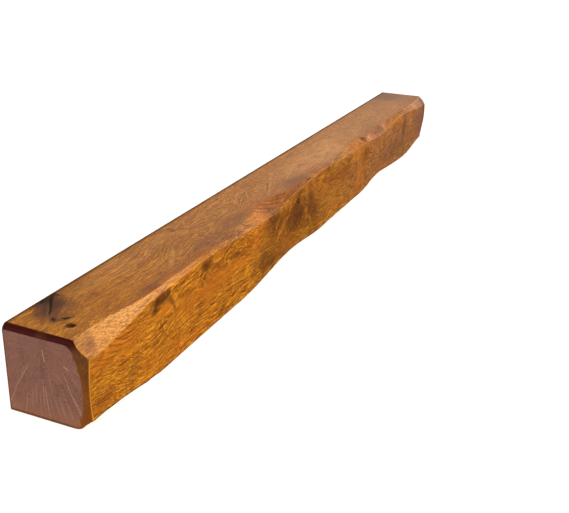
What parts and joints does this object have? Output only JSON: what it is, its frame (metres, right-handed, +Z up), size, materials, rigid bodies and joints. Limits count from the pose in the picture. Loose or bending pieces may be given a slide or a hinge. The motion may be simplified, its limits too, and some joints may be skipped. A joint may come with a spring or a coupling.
{
  "type": "mantel beam",
  "caption": "Solid oak mantel beam, square in section, with hand-cut wavy chamfers along the front edges and bevelled ends, fixed across a fireplace as a shelf.",
  "frame": {"origin": "centre of the beam's footprint, at the level of its flat underside", "axes": "+X along the beam, from the end with the open knot in its top to the other end; +Y from the room side to the wall side; +Z up"},
  "size_m": [1.83, 0.145, 0.145],
  "materials": {
    "oak": "stained golden brown oak, oiled and waxed to a satin sheen, with darker purple-brown end grain"
  },
  "bodies": {
    "root": {"oak_beam": "oak"}
  },
  "joints": []
}
